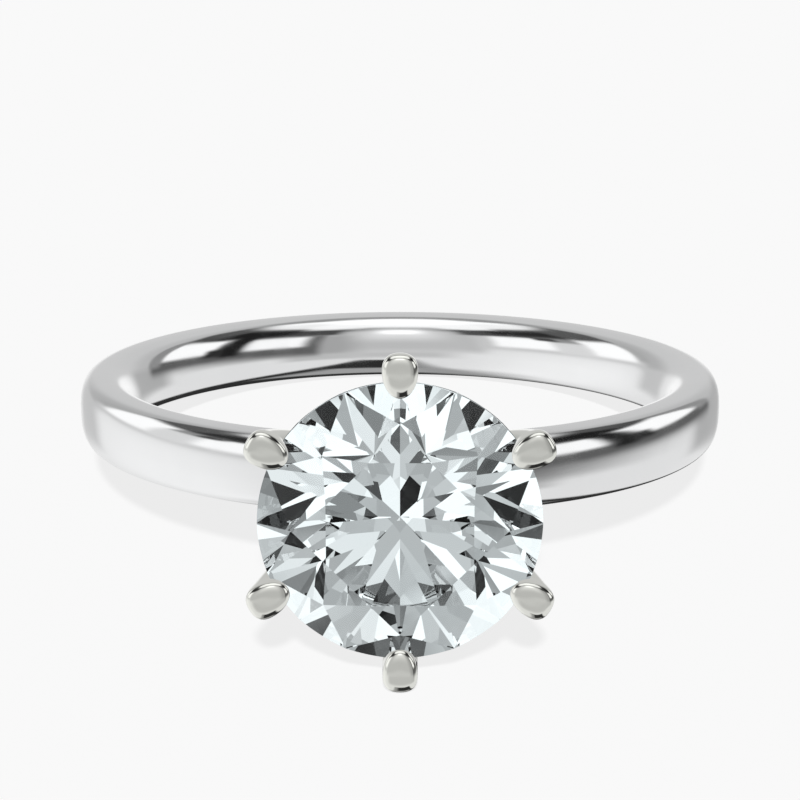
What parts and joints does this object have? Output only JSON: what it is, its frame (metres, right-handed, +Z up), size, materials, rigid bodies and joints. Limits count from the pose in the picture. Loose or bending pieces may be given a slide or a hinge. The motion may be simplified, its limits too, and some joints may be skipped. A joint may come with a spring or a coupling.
{
  "type": "solitaire engagement ring",
  "caption": "Polished white-gold solitaire ring: plain comfort-fit band with a claw head holding a round brilliant-cut diamond.",
  "frame": {"origin": "centre of the finger hole, halfway across the band's width", "axes": "+Z up, with the ring lying on a table as in the picture: on its lowest claw and the back of its band, so the finger axis leans 7.86 degrees from +Z towards +Y; the head and the diamond's table face -Y and slightly up; +X is to the right seen from the head"},
  "size_m": [0.0206, 0.0261, 0.009],
  "materials": {
    "shank_white_gold": "polished",
    "head_white_gold": "polished",
    "diamond": "polished"
  },
  "bodies": {
    "root": {"shank": "shank_white_gold", "head_peg": "head_white_gold", "base_collet": "head_white_gold", "gallery_rail": "head_white_gold", "prong_1": "head_white_gold", "prong_2": "head_white_gold", "prong_3": "head_white_gold", "prong_4": "head_white_gold", "prong_5": "head_white_gold", "prong_6": "head_white_gold", "diamond": "diamond"}
  },
  "joints": []
}
